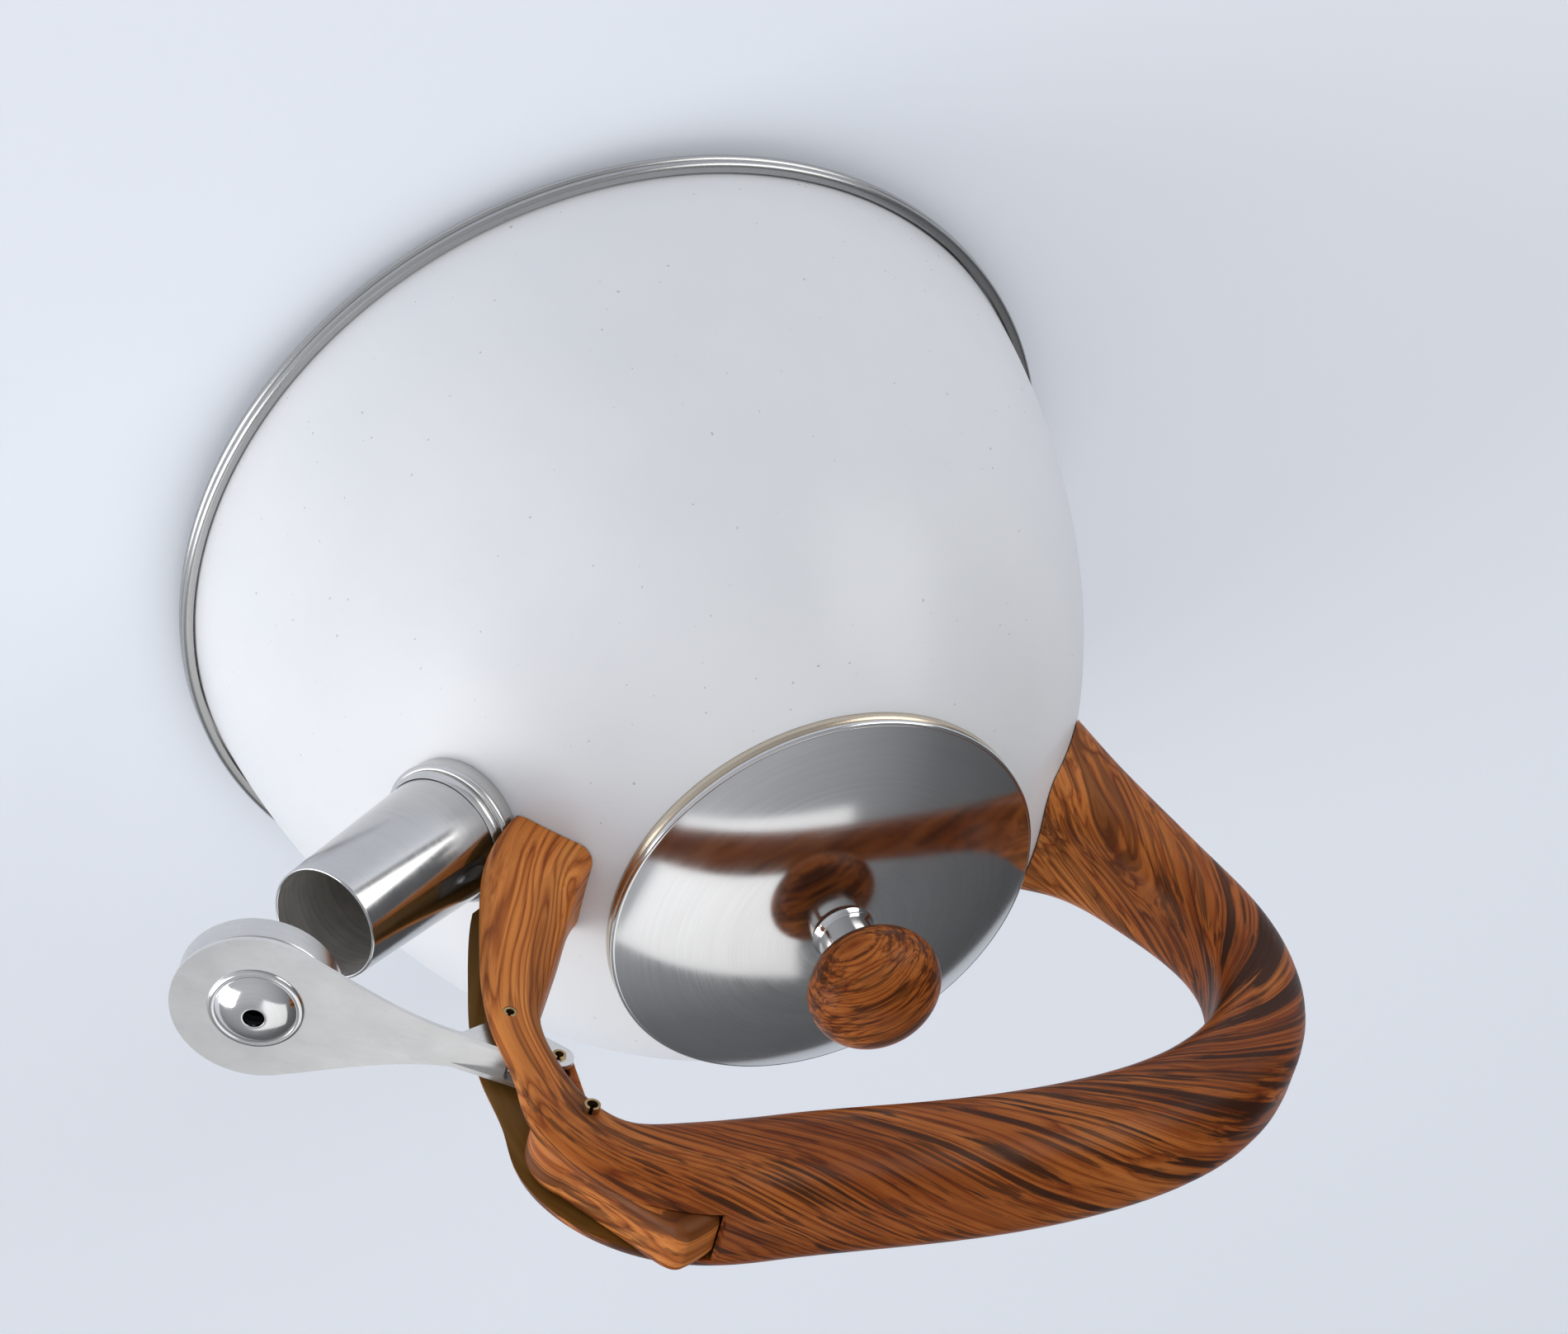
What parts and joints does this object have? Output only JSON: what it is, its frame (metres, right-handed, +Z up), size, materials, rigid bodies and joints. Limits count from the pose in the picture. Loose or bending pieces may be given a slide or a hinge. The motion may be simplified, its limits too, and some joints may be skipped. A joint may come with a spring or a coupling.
{
  "type": "stovetop whistling kettle",
  "caption": "Stovetop kettle with a domed body, lift-off lid, arched handle, short spout and a trigger that opens the whistle flap.",
  "frame": {"origin": "centre of the base on the surface the kettle stands on", "axes": "+Z up, +X towards the spout, the handle lies in the XZ plane"},
  "size_m": [0.2688, 0.222, 0.2449],
  "materials": {
    "enamel": "satin white enamel, black inside",
    "polished_steel": "polished stainless steel",
    "brushed_steel": "fine brushed stainless steel",
    "trim": "bright champagne-coloured trim",
    "woodgrain": "glossy moulded plastic with a wood-grain print",
    "pin_brass": "rolled brass-coloured pins",
    "plain_steel": "plain steel",
    "heat_disc": "turned base disc"
  },
  "bodies": {
    "kettle": {"heat_disc": "heat_disc", "base_plate": "plain_steel", "base_seam_ring": "polished_steel", "body_shell": "enamel", "mouth_ring": "trim", "spout_tube": "brushed_steel", "spout_collar": "polished_steel", "handle": "woodgrain", "front_bracket": "plain_steel", "front_bracket_screw": "plain_steel", "rear_bracket": "plain_steel", "rear_bracket_screw": "plain_steel", "lever_pin": "pin_brass", "trigger_pin": "pin_brass"},
    "whistle": {"whistle_lever": "brushed_steel", "whistle_cap": "brushed_steel", "whistle_disc": "brushed_steel", "whistle_dome": "brushed_steel", "link_pin": "pin_brass", "return_spring": "plain_steel"},
    "trigger": {"trigger": "woodgrain"},
    "lid": {"lid_dome": "polished_steel", "lid_skirt": "brushed_steel", "lid_knob": "woodgrain", "knob_neck": "polished_steel", "knob_screw": "plain_steel", "knob_washer": "plain_steel"}
  },
  "joints": [
    {"name": "whistle_swing", "type": "hinge", "parent": "kettle", "child": "whistle", "pos_m": [0.0915, 0, 0.17855], "axis": [0, -1, 0], "range_deg": [-30, 0], "stiffness_Nm_per_rad": 0.01, "springref_deg": -45.84},
    {"name": "trigger_press", "type": "hinge", "parent": "kettle", "child": "trigger", "pos_m": [0.0853, 0, 0.21135], "axis": [0, -1, 0], "range_deg": [0, 16.39]},
    {"name": "lid_lift", "type": "slide", "parent": "kettle", "child": "lid", "axis": [0, 0, 1], "range_m": [0, 0.025]}
  ],
  "couplings": [
    {"joint": "trigger_press", "follows": "whistle_swing", "ratio": -0.5465}
  ]
}
